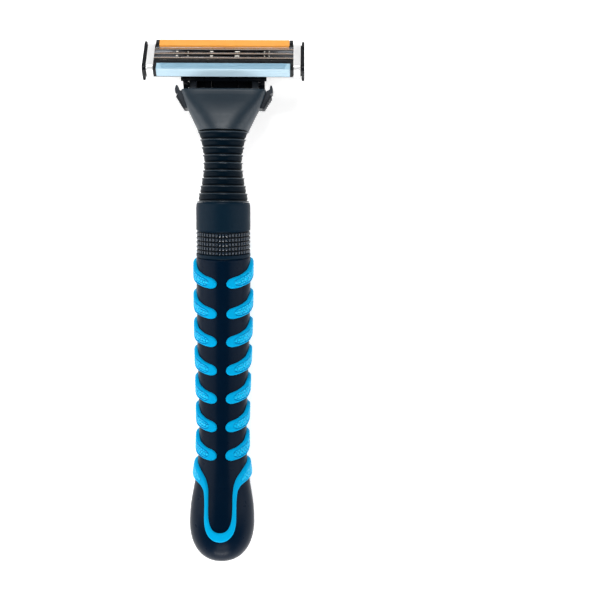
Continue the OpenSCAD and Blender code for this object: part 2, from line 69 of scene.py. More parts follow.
ARM_CLIMB = [(10, 0.1), (20, 0.25), (40, 0.85), (65, 2.0), (85, 3.6), (100, 4.5), (120, 5.1),
             (162, 5.6)]
ARM_WIDENING = [(20, 1), (40, 1.1), (65, 1.28), (85, 1.48), (120, 1.3), (162, 0.82)]
ARM_WIDTH = 2.85
FIRST_ARM = 71.9
FIRST_EXTRA = 0.6
ARM_PITCH = 7.3
# How far the seams bow towards the head at the front of the handle, against station.
BOW = [(74, 0), (78.9, -0.45), (85.5, -0.1), (88, 0.1), (92.8, 0.45), (101, 0.15), (110.5, -0.2)]
ARM_PAIRS = 7
TIP_ANGLE = 10
END_ANGLE = 162
GRIP_PROUD = 0.9


def table(points, reach=0.0):
    """A lookup in a table of points, blended over reach to either side."""
    xs = [p[0] for p in points]
    ys = [p[1] for p in points]
    steps = (-1, -0.5, 0, 0.5, 1)

    def value(at):
        at = np.asarray(at, float)
        return sum(np.interp(at + t * reach, xs, ys) for t in steps) / len(steps)
    return value


axis_z = table(AXIS, 4)
shaft_radius = table(RADII, 1.5)
neck_width = table(NECK_WIDTHS, 1.0)
neck_height = table(NECK_HEIGHTS, 1.0)
climb = table(ARM_CLIMB, 4)
bow = table(BOW, 0.5)
widening = table(ARM_WIDENING, 4)


def place_y(station):
    return np.asarray(station, float) - LENGTH / 2


def axis_tilt(station):
    station = np.asarray(station, float)
    return np.arctan((axis_z(station + 1) - axis_z(station - 1)) / 2)


def handle_radius(station):
    s = np.asarray(station, float)
    inner = np.clip(1 - s / BULB_STATION, 0, 1)
    butt = BULB_RADIUS * (1 - inner ** BULB_POWER) ** (1 / BULB_POWER)
    return np.where(s < BULB_STATION, butt, np.minimum(BULB_RADIUS, shaft_radius(s)))


def round_axis(station, angle, rx, rz):
    """Points at an angle from the front of the handle, square to its axis."""
    tilt = axis_tilt(station)
    x = rx * np.sin(angle)
    y = place_y(station) - rz * np.cos(angle) * np.sin(tilt)
    z = axis_z(station) + rz * np.cos(angle) * np.cos(tilt)
    return np.stack(np.broadcast_arrays(x, y, z), axis=-1)


def bowed(station, angle, rx, rz):
    """Like round_axis, with the ring's front bowed along the axis."""
    return round_axis(station + bow(station) * np.cos(angle), angle, rx, rz)


def arm_station(i):
    return FIRST_ARM - i * ARM_PITCH - (FIRST_EXTRA if i else 0)


def on_cartridge(x, across, out):
    """Cartridge coordinates to the part's own frame.

    X runs along the blades, across runs from the guard to the strip, out is square to the face.
    """
    x, across, out = np.broadcast_arrays(np.asarray(x, float), across, out)
    y = CART_Y + across * math.cos(CART_TILT) + out * math.sin(CART_TILT)
    z = CART_Z - across * math.sin(CART_TILT) + out * math.cos(CART_TILT)
    return np.stack([x, y, z], axis=-1)


# ---- mesh helpers
def drawn_in(outline, middle, inset):
    """An outline with each point moved towards a middle point by inset."""
    pull = np.asarray(middle, float) - outline
    size = np.maximum(1e-6, np.linalg.norm(pull, axis=1))
    return outline + pull / size[:, None] * inset


class Build:
    """Collects points and faces, each face with a material number."""

    def __init__(self):
        self.points = []
        self.faces = []
        self.marks = []

    def add(self, points, faces, mark=0):
        start = len(self.points)
        self.points.extend(map(tuple, np.asarray(points, float).reshape(-1, 3)))
        self.faces.extend(tuple(start + i for i in f) for f in faces)
        self.marks.extend([mark] * len(faces))

    def grid(self, points, closed=False, mark=0, caps=False):
        """A sheet through rows of points. Closed joins the last column to the first."""
        rows, columns = points.shape[:2]
        faces = []
        for r in range(rows - 1):
            for c in range(columns if closed else columns - 1):
                d = (c + 1) % columns
                here, above = r * columns, (r + 1) * columns
                faces.append((here + c, here + d, above + d, above + c))
        if caps:
            faces.append(tuple(range(columns - 1, -1, -1)))
            faces.append(tuple((rows - 1) * columns + c for c in range(columns)))
        self.add(points, faces, mark)

    def prism(self, outline, low, high, place, mark=0, bevel=0.0):
        """An outline of (across, out) pairs pulled along the cartridge's X, with bevelled ends."""
        outline = np.asarray(outline, float)
        inset = drawn_in(outline, outline.mean(axis=0), bevel)
        rows = [(low, inset), (low + bevel, outline), (high - bevel, outline), (high, inset)]
        if bevel == 0:
            rows = [(low, outline), (high, outline)]
        points = np.stack([place(np.full(len(o), x), o[:, 0], o[:, 1]) for x, o in rows])
        self.grid(points, closed=True, mark=mark, caps=True)

    def piece(self, name, body, materials, slot, replaces=(), crease=38.0, weld=1e-4):
        mesh = bpy.data.meshes.new(name)
        mesh.from_pydata([tuple(c * MM for c in p) for p in self.points], [], self.faces)
        for m in materials:
            mesh.materials.append(m)
        mesh.polygons.foreach_set("material_index", self.marks)
        tidy = bmesh.new()
        tidy.from_mesh(mesh)
        bmesh.ops.remove_doubles(tidy, verts=tidy.verts, dist=weld * MM)
        bmesh.ops.recalc_face_normals(tidy, faces=tidy.faces)
        tidy.to_mesh(mesh)
        tidy.free()
        mesh.shade_smooth()
        mesh.set_sharp_from_angle(angle=math.radians(crease))
        piece = bpy.data.objects.new(name, mesh)
        bpy.context.scene.collection.objects.link(piece)
        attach(piece, body)
        if replaces:
            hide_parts(*replaces)
        return piece


def smoothstep(t):
    t = np.clip(t, 0, 1)
    return t * t * (3 - 2 * t)


def rounded_edge(distance, radius):
    """0 at an edge to 1 at radius away from it, as a quarter circle."""
    t = np.clip(distance / radius, 0, 1)
    return np.sqrt(np.clip(1 - (1 - t) ** 2, 0, 1))


# ---- materials
def new_material(name, colour, roughness, metallic=0.0, **sockets):
    material = bpy.data.materials.new(name)
    material.use_nodes = True
    shader = material.node_tree.nodes["Principled BSDF"]
    shader.inputs["Base Color"].default_value = (*colour, 1)
    shader.inputs["Roughness"].default_value = roughness
    shader.inputs["Metallic"].default_value = metallic
    for socket, value in sockets.items():
        shader.inputs[socket.replace("_", " ")].default_value = value
    return material


def noise(material, scale, detail=3.0):
    nodes, links = material.node_tree.nodes, material.node_tree.links
    place = nodes.new("ShaderNodeTexCoord")
    made = nodes.new("ShaderNodeTexNoise")
    made.inputs["Scale"].default_value = scale
    made.inputs["Detail"].default_value = detail
    links.new(place.outputs["Object"], made.inputs["Vector"])
    return made


def vary(material, socket, low, high, scale, detail=3.0):
    """Drives one number of the shader between low and high with noise."""
    nodes, links = material.node_tree.nodes, material.node_tree.links
    ramp = nodes.new("ShaderNodeMapRange")
    ramp.inputs["From Min"].default_value = 0.3
    ramp.inputs["From Max"].default_value = 0.7
    ramp.inputs["To Min"].default_value = low
    ramp.inputs["To Max"].default_value = high
    links.new(noise(material, scale, detail).outputs["Fac"], ramp.inputs["Value"])
    links.new(ramp.outputs["Result"], nodes["Principled BSDF"].inputs[socket])


def mottle(material, first, second, scale, detail=4.0):
    """Blends two close colours with noise."""
    nodes, links = material.node_tree.nodes, material.node_tree.links
    mix = nodes.new("ShaderNodeMix")
    mix.data_type = "RGBA"
    mix.inputs[6].default_value = (*first, 1)
    mix.inputs[7].default_value = (*second, 1)
    links.new(noise(material, scale, detail).outputs["Fac"], mix.inputs[0])
    links.new(mix.outputs[2], nodes["Principled BSDF"].inputs["Base Color"])


def grain(material, scale, strength, distance, detail=2.0):
    """A fine moulded or brushed grain in the surface."""
    nodes, links = material.node_tree.nodes, material.node_tree.links
    bump = nodes.new("ShaderNodeBump")
    bump.inputs["Strength"].default_value = strength
    bump.inputs["Distance"].default_value = distance * MM
    links.new(noise(material, scale, detail).outputs["Fac"], bump.inputs["Height"])
    links.new(bump.outputs["Normal"], nodes["Principled BSDF"].inputs["Normal"])
    return bump


def brush(material, stretch):
    """Stretches every noise of a material along one direction, for brushed metal."""
    nodes, links = material.node_tree.nodes, material.node_tree.links
    for made in [n for n in nodes if n.type == "TEX_NOISE"]:
        mapping = nodes.new("ShaderNodeMapping")
        mapping.inputs["Scale"].default_value = stretch
        source = made.inputs["Vector"].links[0].from_socket
        links.new(source, mapping.inputs["Vector"])
        links.new(mapping.outputs["Vector"], made.inputs["Vector"])


def linear(r, g, b):
    """Display colour, 0 to 255, as scene linear."""
    return tuple(((c / 255 + 0.055) / 1.055) ** 2.4 if c > 10 else c / 255 / 12.92 for c in (r, g, b))


def handle_plastic():
    m = new_material("handle_plastic", linear(0, 18, 36), 0.30, Specular_IOR_Level=0.05)
    mottle(m, linear(0, 16, 34), linear(1, 20, 38), 900)
    vary(m, "Roughness", 0.27, 0.34, 700)
    grain(m, 9000, 0.10, 0.012)
    return m


def head_plastic():
    m = new_material("head_plastic", linear(16, 34, 46), 0.42, Specular_IOR_Level=0.40)
    mottle(m, linear(15, 33, 45), linear(21, 39, 51), 700)
    vary(m, "Roughness", 0.39, 0.45, 900)
    grain(m, 7000, 0.12, 0.012)
    return m


def collar_plastic():
    m = new_material("collar_plastic", linear(9, 29, 43), 0.38, Specular_IOR_Level=0.05)
    mottle(m, linear(7, 27, 41), linear(11, 31, 45), 700)
    vary(m, "Roughness", 0.34, 0.42, 900)
    grain(m, 7000, 0.12, 0.012)
    return m


def knurl_plastic():
    m = new_material("knurl_plastic", linear(18, 38, 54), 0.22, Specular_IOR_Level=0.5)
    mottle(m, linear(13, 31, 47), linear(20, 38, 54), 900)
    grain(m, 8000, 0.08, 0.012)
    return m


# Near-black plastic for the knurl's valleys and the grooves behind the sleeve's lips: painted shade in the
# recesses.
def groove_shade_plastic():
    m = new_material("painted_groove_shade", linear(3, 8, 14), 0.5, Specular_IOR_Level=0.08)
    mottle(m, linear(2, 7, 13), linear(4, 10, 16), 900)
    return m


def sleeve_rubber():
    m = new_material("sleeve_elastomer", linear(0, 13, 24), 0.36, Specular_IOR_Level=0.045)
    mottle(m, linear(0, 12, 23), linear(2, 17, 28), 800)
    vary(m, "Roughness", 0.33, 0.40, 900)
    grain(m, 7000, 0.12, 0.012)
    return m


# Lighter, glossier rubber on the lips of the sleeve: a painted highlight along each lip.
def lip_highlight_rubber():
    m = new_material("sleeve_lips_painted_highlight", linear(27, 42, 53), 0.25, Specular_IOR_Level=0.32)
    mottle(m, linear(22, 37, 48), linear(33, 48, 59), 500)
    return m


def grip_rubber():
    m = new_material("grip_elastomer", linear(0, 160, 214), 0.42, Specular_IOR_Level=0.02)
    mottle(m, linear(0, 155, 209), linear(0, 166, 219), 500)
    vary(m, "Roughness", 0.38, 0.48, 700)
    grain(m, 6000, 0.12, 0.012)
    return m


# Lighter cyan on the pebbles: a painted highlight on their tops.
def grip_pebble():
    m = new_material("grip_pebbles_painted_highlight", linear(0, 182, 230), 0.26, Specular_IOR_Level=0.12)
    mottle(m, linear(0, 176, 225), linear(0, 188, 234), 600)
    grain(m, 6000, 0.10, 0.010)
    return m


# Darker cyan in the inset's outline and between pebbles: painted shade in the low ground.
def outline_shade_rubber():
    m = new_material("grip_outline_painted_shade", linear(0, 128, 186), 0.5, Specular_IOR_Level=0.04)
    mottle(m, linear(0, 122, 180), linear(0, 134, 192), 600)
    return m


def inner_plastic():
    m = new_material("cartridge_plastic", linear(8, 11, 16), 0.30, Specular_IOR_Level=0.2)
    mottle(m, linear(6, 9, 14), linear(11, 14, 20), 900)
    vary(m, "Roughness", 0.26, 0.36, 900)
    grain(m, 8000, 0.10, 0.010)
    return m


def button_plastic():
    m = new_material("button_plastic", linear(36, 42, 50), 0.42, Specular_IOR_Level=0.3)
    mottle(m, linear(32, 38, 46), linear(41, 47, 55), 900)
    grain(m, 7000, 0.15, 0.012)
    return m


def button_rubber():
    m = new_material("button_elastomer", linear(28, 33, 39), 0.55, Specular_IOR_Level=0.25)
    mottle(m, linear(24, 29, 35), linear(34, 39, 45), 900)
    grain(m, 7000, 0.2, 0.014)
    return m


def guard_rubber(name, colour, roughness, gloss, first, second):
    m = new_material(name, linear(*colour), roughness, Specular_IOR_Level=gloss)
    mottle(m, linear(*first), linear(*second), 500)
    vary(m, "Roughness", 0.33, 0.44, 800)
    grain(m, 6000, 0.08, 0.010)
    return m


def strip_polymer():
    m = new_material("strip_polymer", linear(250, 168, 72), 0.5, Specular_IOR_Level=0.3)
    mottle(m, linear(247, 162, 64), linear(253, 175, 82), 450)
    vary(m, "Roughness", 0.42, 0.54, 800)
    grain(m, 5200, 0.14, 0.014)
    return m


def clip_metal():
    m = new_material("clip_aluminium", linear(240, 240, 240), 0.36, 0.45)
    vary(m, "Roughness", 0.30, 0.42, 1800)
    grain(m, 5200, 0.10, 0.006)
    brush(m, (1.0, 0.08, 0.08))
    return m


def blade_metal():
    m = new_material("blade_steel", linear(188, 190, 194), 0.22, 1.0)
    vary(m, "Roughness", 0.18, 0.30, 1500)
    grain(m, 4200, 0.10, 0.005)
    brush(m, (0.05, 1.0, 1.0))
    return m


# Steel of the ground edge, lighter than the blade and tinted tan: a painted highlight along the edge and a
# painted reflection of the orange strip.
def edge_reflection_metal():
    m = new_material("blade_edge_painted_reflection", linear(240, 222, 206), 0.14, 1.0)
    vary(m, "Roughness", 0.10, 0.2, 1500)
    return m


def support_metal():
    m = new_material("support_steel", linear(120, 122, 126), 0.36, 1.0)
    vary(m, "Roughness", 0.3, 0.44, 1500)
    grain(m, 4200, 0.12, 0.006)
    brush(m, (0.06, 1.0, 1.0))
    return m


def spring_metal():
    m = new_material("spring_steel", linear(176, 178, 182), 0.28, 1.0)
    vary(m, "Roughness", 0.22, 0.34, 1500)
    return m


# Light, partly matt steel for the tabs between the blades: painted glints.
def painted_glint_metal():
    m = new_material("painted_glint_steel", linear(200, 196, 186), 0.3, 0.6)
    vary(m, "Roughness", 0.25, 0.35, 1500)
    return m


handle_look = handle_plastic()
head_look = head_plastic()
collar_look = collar_plastic()
groove_shade_look = groove_shade_plastic()
knurl_look = knurl_plastic()
sleeve_look = sleeve_rubber()
lip_look = lip_highlight_rubber()
grip_look = grip_rubber()
pebble_highlight_look = grip_pebble()
outline_shade_look = outline_shade_rubber()
inner_look = inner_plastic()
button_look = button_plastic()
pad_look = button_rubber()
guard_look = guard_rubber("guard_elastomer", (163, 199, 217), 0.38, 0.3, (158, 195, 214), (168, 203, 221))
guard_face_look = guard_rubber("guard_face", (190, 216, 230), 0.5, 0.14, (185, 212, 227), (195, 220, 233))
strip_look = strip_polymer()
clip_look = clip_metal()
blade_look = blade_metal()
edge_reflection_look = edge_reflection_metal()
support_look = support_metal()
spring_look = spring_metal()
glint_tab_look = painted_glint_metal()


# ---- handle: bulb, waist and shaft in one swept skin
# How far the very end of the butt is drawn in, so that it stays inside the part's box.
BUTT_PULL = 0.10
BUTT_FADE = 0.6


def ring_skin(station, rx, rz, sides):
    """A closed skin through rings round the handle's axis."""
    angles = np.linspace(0, 2 * math.pi, sides, endpoint=False)
    rings = bowed(station[:, None], angles[None, :], rx[:, None], rz[:, None])
    build = Build()
    build.grid(rings, closed=True, caps=True)
    return build


def build_handle():
    butt = BULB_STATION * (1 - np.cos(np.radians(np.linspace(1.5, 88, 34))))
    shaft = np.linspace(BULB_STATION, KNURL_STATION - 0.35, 150)
    seam = np.array([KNURL_STATION - 0.28, KNURL_STATION - 0.16, KNURL_STATION - 0.04])
    station = np.concatenate([butt, shaft, seam])
    radius = handle_radius(station)
    radius[-3:] -= np.array([0.02, 0.10, 0.34])
    station = station + BUTT_PULL * np.exp(-station / BUTT_FADE)
    build = ring_skin(station, radius, radius, 128)
    build.piece("handle_shell", "handle", [handle_look], "handle_plastic", ["handle_body"])


# ---- grip: bands that lie on the handle, drawn along a path of angle and station
ZONE_MARGIN = 0.58
ZONE_ROUND = 1.7
CELL_ALONG = 0.96
CELL_ACROSS = 0.80


def pebble_domes(along, across):
    """Height of the pebbles, 0 to 1, in staggered rows."""
    row = np.floor(across / CELL_ACROSS + 0.5)
    shift = 0.5 * np.mod(np.abs(row), 2)
    cell_a = np.mod(along / CELL_ALONG + shift, 1.0) - 0.5
    cell_b = across / CELL_ACROSS - row
    dome = np.clip(1 - (2 * cell_a) ** 2, 0, 1) * np.clip(1 - (2 * cell_b) ** 2, 0, 1)
    return dome ** 0.6


def pebble_relief(along, across, half, start):
    """Height change of the pebbled inset, and a mark: 0 outside, 1 on pebbles, lighter as a painted
    highlight, 2 in the outline and between pebbles, darker as painted shade.
    """
    into = along - start
    zone = np.clip(half - ZONE_MARGIN, 0, None) * rounded_edge(into, ZONE_ROUND)
    inside = zone - np.abs(across)
    inside = np.where(into > 0, inside, -1.0)
    groove = -0.22 * np.exp(-(inside / 0.11) ** 2)
    field = smoothstep((inside - 0.08) / 0.14)
    dome = pebble_domes(into, across)
    mark = np.where(np.abs(inside) < 0.12, 2, np.where(inside > 0, np.where(dome < 0.3, 2, 1), 0))
    return groove + field * (-0.22 + 0.24 * dome), mark


def band(build, angle, station, half, proud, pebbles_from=None, columns=41):
    """A raised band. Angle, station, half width and proud are arrays along its path."""
    radius = handle_radius(station) + proud
    u = radius * angle
    along = np.concatenate([[0], np.cumsum(np.hypot(np.diff(u), np.diff(station)))])
    tu, ts = np.gradient(u), np.gradient(station)
    size = np.hypot(tu, ts)
    v = np.sin(np.linspace(-1, 1, columns) * math.pi / 2 * 0.86) / math.sin(math.pi / 2 * 0.86)
    across = half[:, None] * v[None, :]
    side_u = u[:, None] - (ts / size)[:, None] * across
    side_s = station[:, None] + (tu / size)[:, None] * across
    theta = side_u / radius[:, None]
    lift = proud[:, None] * rounded_edge(half[:, None] - np.abs(across), 0.5)
    mark = np.zeros(across.shape, int)
    if pebbles_from is not None:
        relief, mark = pebble_relief(along[:, None], across, half[:, None], pebbles_from)
        lift = lift + relief * smoothstep(lift / proud[:, None] * 4 - 2.6)
    ground = handle_radius(side_s) - 0.03
    r = ground + np.maximum(lift, 0)
    points = round_axis(side_s, theta, r, r)
    rows, cols = across.shape
    start = len(build.points)
    build.points.extend(map(tuple, points.reshape(-1, 3)))
    for i in range(rows - 1):
        for j in range(cols - 1):
            a = start + i * cols + j
            build.faces.append((a, a + 1, a + cols + 1, a + cols))
            build.marks.append(int(mark[i, j]))


TIP_LENGTH = 16


def tip_shape(angle):
    t = np.clip((angle - TIP_ANGLE) / TIP_LENGTH, 0, 1)
    return np.sqrt(np.clip(1 - (1 - t) ** 2, 0, 1)) + 0.001


def arm(build, side, station):
    """One arm, from its tip at the front to the spine at the back."""
    near = TIP_ANGLE + TIP_LENGTH * (1 - np.cos(np.linspace(0, math.pi / 2, 20)))
    degrees = np.concatenate([near, np.linspace(TIP_ANGLE + TIP_LENGTH + 1, END_ANGLE, 150)])
    angle = np.radians(degrees)
    place = station + climb(degrees)
    half = ARM_WIDTH / 2 * widening(degrees) * tip_shape(degrees)
    slope = np.arctan(np.gradient(place) / np.gradient(angle * 7.8))
    half = half * np.cos(slope)
    band(build, side * angle, place, half, np.full(len(half), GRIP_PROUD), pebbles_from=2.1)


# The last arm and the loop round the bulb, as angle or offset, station, half width and height.
LAST_ARM = [(162, 5.6, 1.2, 0.9), (140, 5.4, 1.5, 0.9), (120, 5.1, 1.7, 0.9), (100, 4.7, 1.8, 0.9),
            (85, 3.95, 1.8, 0.9), (66, 2.95, 1.66, 0.9), (54, 2.15, 1.45, 0.9), (45, 1.45, 1.26, 0.88)]
LOOP = [(4.96, 20.95, 1.06, 0.85), (4.53, 20.2, 0.88, 0.82), (4.18, 19.4, 0.73, 0.78),
        (3.98, 18.5, 0.65, 0.72), (3.85, 17.2, 0.59, 0.64), (3.77, 15.5, 0.56, 0.56),
        (3.74, 13.6, 0.57, 0.5), (3.66, 11.8, 0.66, 0.48), (3.36, 10.15, 0.80, 0.46),
        (2.68, 8.7, 0.96, 0.45), (1.52, 7.75, 1.12, 0.45), (0.0, 7.42, 1.18, 0.45)]


def smooth_path(points, count):
    """A Catmull-Rom curve through points, evenly spaced by parameter."""
    p = np.asarray(points, float)
    p = np.vstack([2 * p[0] - p[1], p, 2 * p[-1] - p[-2]])
    t = np.linspace(0, len(p) - 3, count)
    k = np.minimum(t.astype(int), len(p) - 4)
    f = (t - k)[:, None]
    a, b, c, d = p[k], p[k + 1], p[k + 2], p[k + 3]
    return 0.5 * (2 * b + (c - a) * f + (2 * a - 5 * b + 4 * c - d) * f ** 2
                  + (3 * b - a - 3 * c + d) * f ** 3)


def last_arm_and_loop(build, station):
    rows = [(math.radians(a), station + s, h, p) for a, s, h, p in LAST_ARM]
    for x, s, h, p in LOOP:
        r = float(handle_radius(s)) + p
        rows.append((math.asin(min(1, x / r)), s, h, p))
    mirrored = [(-a, s, h, p) for a, s, h, p in reversed(rows[:-1])]
    path = smooth_path(rows + mirrored, 560)
    band(build, path[:, 0], path[:, 1], path[:, 2], path[:, 3])


def last_arm_pebbles(build, side, station):
    """The pebbled inset of the last arm, a thin oval skin over it."""
    degrees = np.linspace(41, 128, 110)
    rows = [(a, station + s, h, p) for a, s, h, p in LAST_ARM]
    table_at = sorted(rows + [(33, LOOP[0][1], LOOP[0][2], LOOP[0][3])])
    a = [r[0] for r in table_at]
    place = np.interp(degrees, a, [r[1] for r in table_at])
    half = np.interp(degrees, a, [r[2] for r in table_at]) - ZONE_MARGIN
    angle = np.radians(degrees)
    along = angle * 8.2
    ends = rounded_edge(along - along[0], 1.5) * rounded_edge(along[-1] - along, 1.5) + 0.001
    half = half * ends
    tu, ts = np.gradient(along), np.gradient(place)
    size = np.hypot(tu, ts)
    v = np.linspace(-1, 1, 33)
    across = half[:, None] * v[None, :]
    theta = (along[:, None] - (ts / size)[:, None] * across) / 8.2
    s = place[:, None] + (tu / size)[:, None] * across
    dome = pebble_domes(along[:, None], across)
    rim = smoothstep((half[:, None] - np.abs(across)) / 0.12)
    lift = GRIP_PROUD - 0.02 + rim * (0.12 * dome - 0.03)
    r = handle_radius(s) + lift
    first = len(build.faces)
    # The skin takes the lighter pebble colour, a painted highlight; low ground between pebbles and the rim
    # take the darker outline colour, painted shade.
    build.grid(round_axis(s, side * theta, r, r), mark=1)
    for i in range(len(degrees) - 1):
        for j in range(len(v) - 1):
            if dome[i, j] < 0.3 or rim[i, j] < 0.9:
                build.marks[first + i * (len(v) - 1) + j] = 2


def spine(build):
    """The flat back of the grip that the razor rests on, with cross grooves."""
    station = np.linspace(14, 78.85, 520)
    low = np.interp(station, [74, 78.85], [0, 0.9])
    tilt = axis_tilt(station)
    profile_x = np.array([-2.86, -3.0, -3.0, -2.93, -2.75, -2.45, -1.8, -0.9, 0, 0.9, 1.8, 2.45, 2.75, 2.93,
                          3.0, 3.0, 2.86])
    rise = np.array([2.3, 1.2, 0.32, 0.14, 0.05, 0.02, 0.02, 0.02, 0.02, 0.02, 0.02, 0.02, 0.05, 0.14, 0.32,
                     1.2, 2.3])
    grooves = np.clip(np.cos(station / 1.2 * 2 * math.pi), 0, 1) ** 3
    flat = np.exp(-(profile_x / 1.9) ** 8)
    z = low[:, None] + rise[None, :] + 0.28 * grooves[:, None] * flat[None, :]
    top = (axis_z(station) - handle_radius(station) * 0.9)[:, None]
    z = np.where(rise[None, :] > 2, top, np.minimum(z, top))
    x = np.broadcast_to(profile_x, z.shape)
    y = place_y(station)[:, None] + (axis_z(station)[:, None] - z) * np.tan(tilt)[:, None]
    build.grid(np.stack([x, y, z], axis=-1), caps=True)


def build_grip():
    build = Build()
    for side in (-1, 1):
        for i in range(ARM_PAIRS):
            arm(build, side, arm_station(i))
        last_arm_pebbles(build, side, arm_station(ARM_PAIRS))
    last_arm_and_loop(build, arm_station(ARM_PAIRS))
    spine(build)
    build.piece("grip_skin", "handle", [grip_look, pebble_highlight_look, outline_shade_look], "grip_elastomer",
                ["grip_overmould"], crease=60)


# ---- knurled ring: rows of small pyramids between two smooth rims, with painted shade in the valleys
KNURL_COLUMNS = 50
KNURL_ROWS = 5
KNURL_FIRST = 79.85
KNURL_LAST = 85.42
KNURL_DEPTH = 0.30


def build_knurl():
    per_cell = 6
    columns = KNURL_COLUMNS * per_cell
    angles = np.linspace(0, 2 * math.pi, columns, endpoint=False)
    rows = np.linspace(KNURL_FIRST, KNURL_LAST, KNURL_ROWS * per_cell + 1)
    lower = np.array([78.9, 78.98, 79.1, 79.3, 79.6, 79.78])
    upper = np.array([85.5, 85.58])
    station = np.concatenate([lower, rows, upper])
    radius = np.full((len(station), columns), COLLAR_RADIUS)
    radius[0] -= 0.22
    radius[1] -= 0.07
    radius[-1] -= 0.28
    radius[-2] -= 0.22
    a = np.mod(angles / (2 * math.pi) * KNURL_COLUMNS, 1.0) - 0.5
    b = np.mod((rows - KNURL_FIRST) / (KNURL_LAST - KNURL_FIRST) * KNURL_ROWS, 1.0) - 0.5
    b[0] = b[-1] = 0.5
    far = np.maximum(np.abs(a)[None, :], np.abs(b)[:, None]) * 2
    height = np.clip((1 - far) / 0.72, 0, 1)
    radius[len(lower):len(lower) + len(rows)] -= KNURL_DEPTH * (1 - height) + 0.02
    build = Build()
    build.grid(bowed(station[:, None], angles[None, :], radius, radius), closed=True, caps=True)
    first = len(lower)
    build.marks[:first * columns] = [2] * (first * columns)
    # Valley faces take the near-black groove plastic: painted shade between the pyramids.
    for i in range(len(rows) - 1):
        for j in range(columns):
            deep = (height[i, j] + height[i + 1, (j + 1) % columns]) / 2
            build.marks[(first + i) * columns + j] = 1 if deep < 0.3 else 0
    build.piece("knurl_band", "handle", [knurl_look, groove_shade_look, collar_look], "knurl_plastic",
                ["knurled_ring"], crease=24)


# ---- collar: smooth, with a shadow gap to the knurl and a soft shoulder
def build_collar():
    station = np.concatenate([[85.62, 85.68, 85.78], np.linspace(85.95, 91.4, 20),
                              [91.8, 92.2, 92.5, 92.72]])
    radius = np.full(len(station), COLLAR_RADIUS - 0.01)
    radius[:3] -= np.array([0.3, 0.10, 0.03])
    radius[-4:] -= np.array([0.02, 0.07, 0.16, 0.34])
    build = ring_skin(station, radius, radius, 128)
    build.piece("collar_ring", "handle", [collar_look], "collar_plastic", ["collar"])


# ---- ribbed sleeve: cups that overlap like a bellows, each with a thin lip
RIB_COUNT = 10
RIB_FIRST = 92.95
RIB_LAST = 110.4
# Along the axis, rise, and the mark of the face that follows: 0 band, 1 lip, 2 groove. The lip's lighter
# rubber is a painted highlight, the groove's near-black plastic painted shade.
RIB = [(-0.62, 0.0, 0), (-0.40, 0.02, 0), (-0.24, 0.10, 0), (-0.13, 0.21, 1), (-0.05, 0.27, 1),
       (0.04, 0.27, 1), (0.10, 0.22, 2), (0.13, 0.02, 2), (0.17, -0.20, 2), (0.32, -0.24, 2),
       (0.44, -0.10, 0), (0.66, 0.0, 0)]


def build_sleeve():
    sides = 120
    crests = np.linspace(RIB_FIRST, RIB_LAST, RIB_COUNT)
    low, high = SLEEVE_STATION + 0.02, HEAD_STATION + 0.1
    rows = [(low, -0.2, 0)]
    for crest in crests:
        rows += [(crest + run, rise, mark) for run, rise, mark in RIB if low < crest + run < high]
        if crest < RIB_LAST:
            rows += [(crest + 0.9, 0.01, 0), (crest + 1.15, 0.01, 0)]
    rows.append((high + 0.1, -0.3, 0))
    station, lip, marks = (np.array(column) for column in zip(*rows))
    build = ring_skin(station, neck_width(station) + lip, neck_height(station) + lip, sides)
    for i, mark in enumerate(marks[:-1]):
        build.marks[i * sides:(i + 1) * sides] = [int(mark)] * sides
    build.piece("bellows_sleeve", "handle", [sleeve_look, lip_look, groove_shade_look], "sleeve_elastomer",
                ["neck_sleeve"], crease=50)


build_handle()
build_grip()
build_knurl()
build_collar()
build_sleeve()


# ---- head: a moulded cover over a base, wider to the front, notched round the pivots
COVER_PLACES = [HEAD_STATION, 116.3, HEAD_FRONT_STATION]
COVER_WIDTHS = [6.35, 9.1, 11.05]
COVER_TOPS = [17.7, 15.95, 13.1]
COVER_POWERS = [2.3, 2.6, 3.4]
COVER_EDGE = 0.42
SPLIT_Z = 10.9
NOTCH_X = 10.9
NOTCH_RADIUS = 2.9

cover_width = table(list(zip(COVER_PLACES, COVER_WIDTHS)), 0.9)
cover_top = table(list(zip(COVER_PLACES, COVER_TOPS)), 1.6)
cover_power = table(list(zip(COVER_PLACES, COVER_POWERS)), 0.9)


def cover_section(station, inset, floor_z):
    """One arch of the cover, from its left foot over the top to its right foot."""
    w = float(cover_width(station)) - inset
    rise = float(cover_top(station)) - inset - floor_z
    power = 2 / float(cover_power(station))
    turn = np.linspace(0, math.pi / 2, 40)
    x = w * np.cos(turn) ** power
    x[-1] = 0
    half = np.stack([x, floor_z + rise * np.sin(turn) ** power], axis=-1)
    left = half[:-1] * np.array([-1, 1])
    return np.concatenate([left, half[::-1]])


